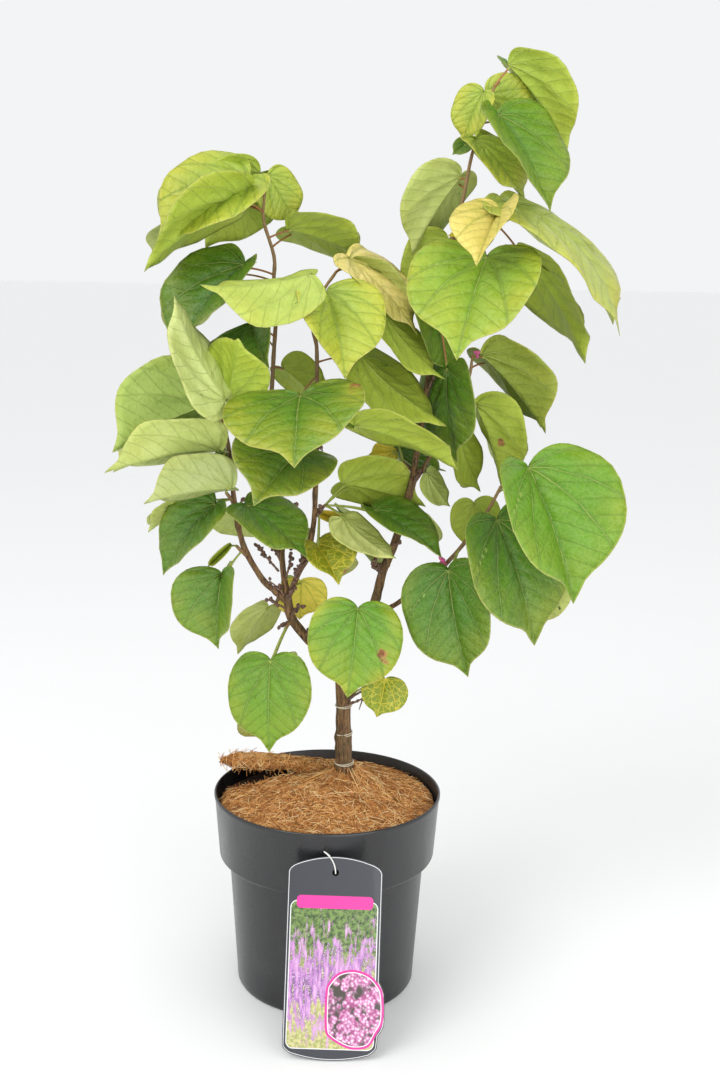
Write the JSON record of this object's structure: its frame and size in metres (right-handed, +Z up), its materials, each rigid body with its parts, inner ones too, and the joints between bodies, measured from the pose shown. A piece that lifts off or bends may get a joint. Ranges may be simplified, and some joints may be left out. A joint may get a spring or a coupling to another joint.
{
  "type": "potted chinese redbud",
  "caption": "Young Chinese redbud shrub with large heart-shaped leaves on forked bare stems, in a round black grower's pot with a coir disc and a picture tag.",
  "frame": {"origin": "centre of the pot's flat underside, on the floor", "axes": "+Z up along the pot's axis, -Y towards the side the tag leans on, +X to the right seen from that side"},
  "size_m": [0.5099, 0.3014, 0.9248],
  "materials": {
    "pot_plastic": "satin black",
    "compost": "rough",
    "coir": "fibrous",
    "tag_card": "printed, glossy",
    "elastic": "matte",
    "bark": "rough bark",
    "foliage": "leafy, soft sheen"
  },
  "bodies": {
    "root": {"pot": "pot_plastic", "soil": "compost", "coir_mat": "coir", "tag": "tag_card", "tag_loop": "elastic", "trunk": "bark", "bough_left": "bark", "bough_left_outer": "bark", "bough_left_leader": "bark", "bough_centre": "bark", "bough_right": "bark", "bough_right_leader": "bark", "bough_right_side": "bark", "bough_right_low": "bark", "leaves_left_top": "foliage", "leaves_left_outer": "foliage", "leaves_left_low": "foliage", "leaves_left_hanging": "foliage", "leaf_left_small": "foliage", "leaf_left_low": "foliage", "leaf_yellow": "foliage", "leaves_centre_top": "foliage", "leaves_centre": "foliage", "leaf_centre_left": "foliage", "leaves_centre_right": "foliage", "leaf_right_low": "foliage", "leaf_trunk": "foliage", "leaves_right_top": "foliage", "leaves_right_inner": "foliage", "leaves_right_side": "foliage", "leaves_right_low": "foliage"}
  },
  "joints": []
}
